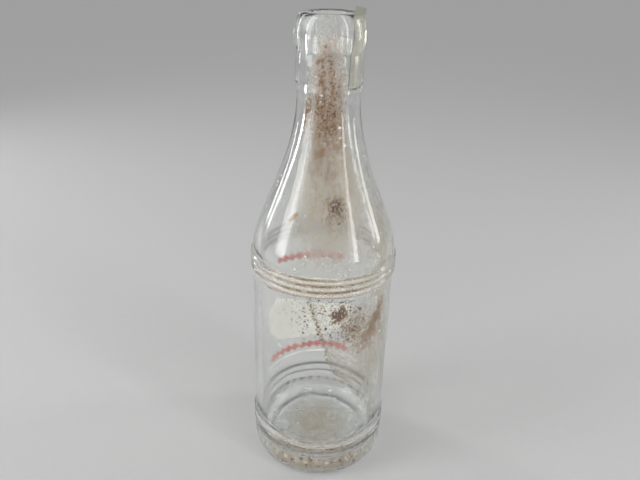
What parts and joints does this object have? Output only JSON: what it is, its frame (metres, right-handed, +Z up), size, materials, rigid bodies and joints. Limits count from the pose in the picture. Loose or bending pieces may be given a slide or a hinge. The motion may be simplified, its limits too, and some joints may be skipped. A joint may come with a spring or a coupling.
{
  "type": "soda bottle",
  "caption": "Clear glass soda bottle with a crown finish, long sloping shoulder, ribbed bands above and below the label space, printed enamel label on the back and a flat standing ring.",
  "frame": {"origin": "on the floor, at the bottle's axis, in the middle of the standing ring", "axes": "+Z up along the bottle's axis to the mouth; -Y is the front, and the printed label is on the back, at +Y and a little towards -X"},
  "size_m": [0.0606, 0.0606, 0.1975],
  "materials": {
    "clear_glass": "gloss, slightly stained inside",
    "white_enamel": "fired enamel, worn satin",
    "red_enamel": "fired enamel, worn satin",
    "clear_tape": "yellowed clear film"
  },
  "bodies": {
    "root": {"glass_bottle": "clear_glass", "label_panel": "white_enamel", "label_rule": "white_enamel", "label_chain_upper": "red_enamel", "label_chain_lower": "red_enamel", "lip_tape": "clear_tape"}
  },
  "joints": []
}
